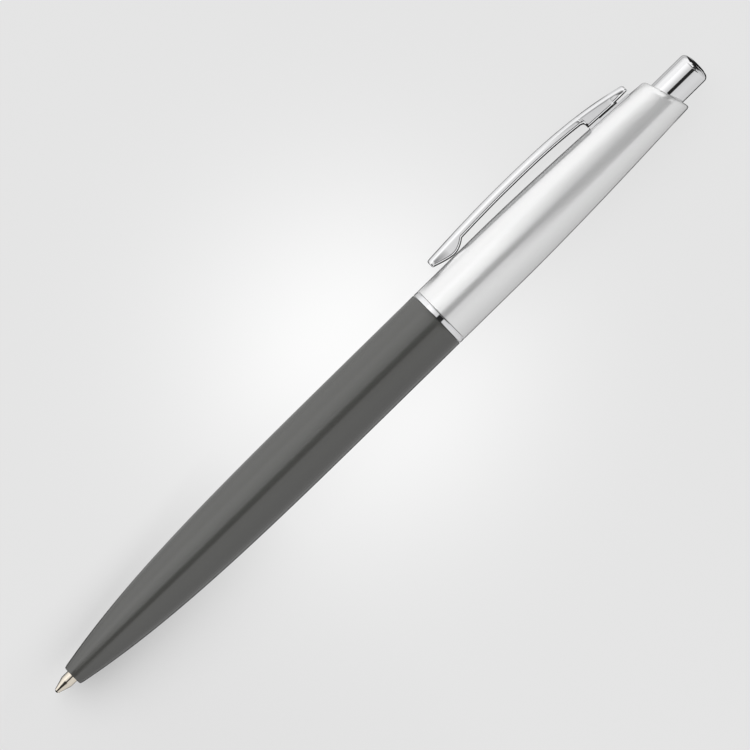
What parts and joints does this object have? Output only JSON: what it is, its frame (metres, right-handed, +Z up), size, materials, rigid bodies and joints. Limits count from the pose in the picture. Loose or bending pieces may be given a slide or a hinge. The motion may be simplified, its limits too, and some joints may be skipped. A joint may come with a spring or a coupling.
{
  "type": "push-button ballpoint pen",
  "caption": "Retractable ballpoint pen with a tapered dark plastic lower barrel, satin metal upper barrel, spring clip and push button.",
  "frame": {"origin": "on the surface the pen lies on, under the middle of its bounding box", "axes": "+X along the pen from the writing tip to the push button, +Z up; the pen lies on its barrel and on the clip's edge"},
  "size_m": [0.14, 0.0124, 0.0104],
  "materials": {
    "barrel_plastic": "moulded, gloss, dark warm grey",
    "polished_chrome": "mirror polished",
    "clip_chrome": "mirror polished",
    "satin_metal": "fine satin, brushed along the pen",
    "bush_brass": "turned",
    "housing_plastic": "moulded, natural white",
    "mechanism_plastic": "moulded, self-lubricating",
    "refill_brass": "drawn",
    "nickel_silver": "turned, pale gold",
    "ball_carbide": "ground carbide",
    "ink_paste": "viscous ink",
    "spring_steel": "drawn spring wire"
  },
  "bodies": {
    "upper_barrel": {"upper_barrel": "satin_metal", "threaded_bush": "bush_brass", "mechanism_housing": "housing_plastic", "clip": "clip_chrome", "clip_base": "clip_chrome"},
    "button": {"push_button": "polished_chrome", "plunger": "mechanism_plastic"},
    "refill": {"refill_tube": "refill_brass", "tip_holder": "refill_brass", "writing_point": "nickel_silver", "ink": "ink_paste"},
    "rotor": {"rotor": "mechanism_plastic"},
    "ball": {"writing_ball": "ball_carbide"},
    "centre_ring": {"centre_ring": "polished_chrome"},
    "lower_barrel": {"lower_barrel": "barrel_plastic", "return_spring": "spring_steel"}
  },
  "joints": [
    {"name": "button_slide", "type": "slide", "parent": "upper_barrel", "child": "button", "axis": [-1, 0, 0], "range_m": [-0.005, 0.0015], "stiffness_N_per_m": 300},
    {"name": "refill_slide", "type": "slide", "parent": "upper_barrel", "child": "refill", "axis": [-1, 0, 0], "range_m": [-0.005, 0.0015], "deforming": ["return_spring"]},
    {"name": "rotor_turn", "type": "hinge", "parent": "refill", "child": "rotor", "pos_m": [0.04, -0.00098, 0.0052], "axis": [1, 0, 0], "continuous": true},
    {"name": "ball_roll", "type": "hinge", "parent": "refill", "child": "ball", "pos_m": [-0.06965, -0.00098, 0.0052], "axis": [0, 0, 1], "continuous": true},
    {"name": "barrel_turn", "type": "hinge", "parent": "upper_barrel", "child": "centre_ring", "pos_m": [0.0136, -0.00098, 0.0052], "axis": [-1, 0, 0], "range_deg": [0, 2160]},
    {"name": "barrel_draw", "type": "slide", "parent": "centre_ring", "child": "lower_barrel", "axis": [-1, 0, 0], "range_m": [0, 0.006]}
  ],
  "couplings": [
    {"joint": "refill_slide", "follows": "button_slide", "ratio": 1},
    {"joint": "barrel_draw", "follows": "barrel_turn", "m_per_rad": 0.00015915}
  ]
}
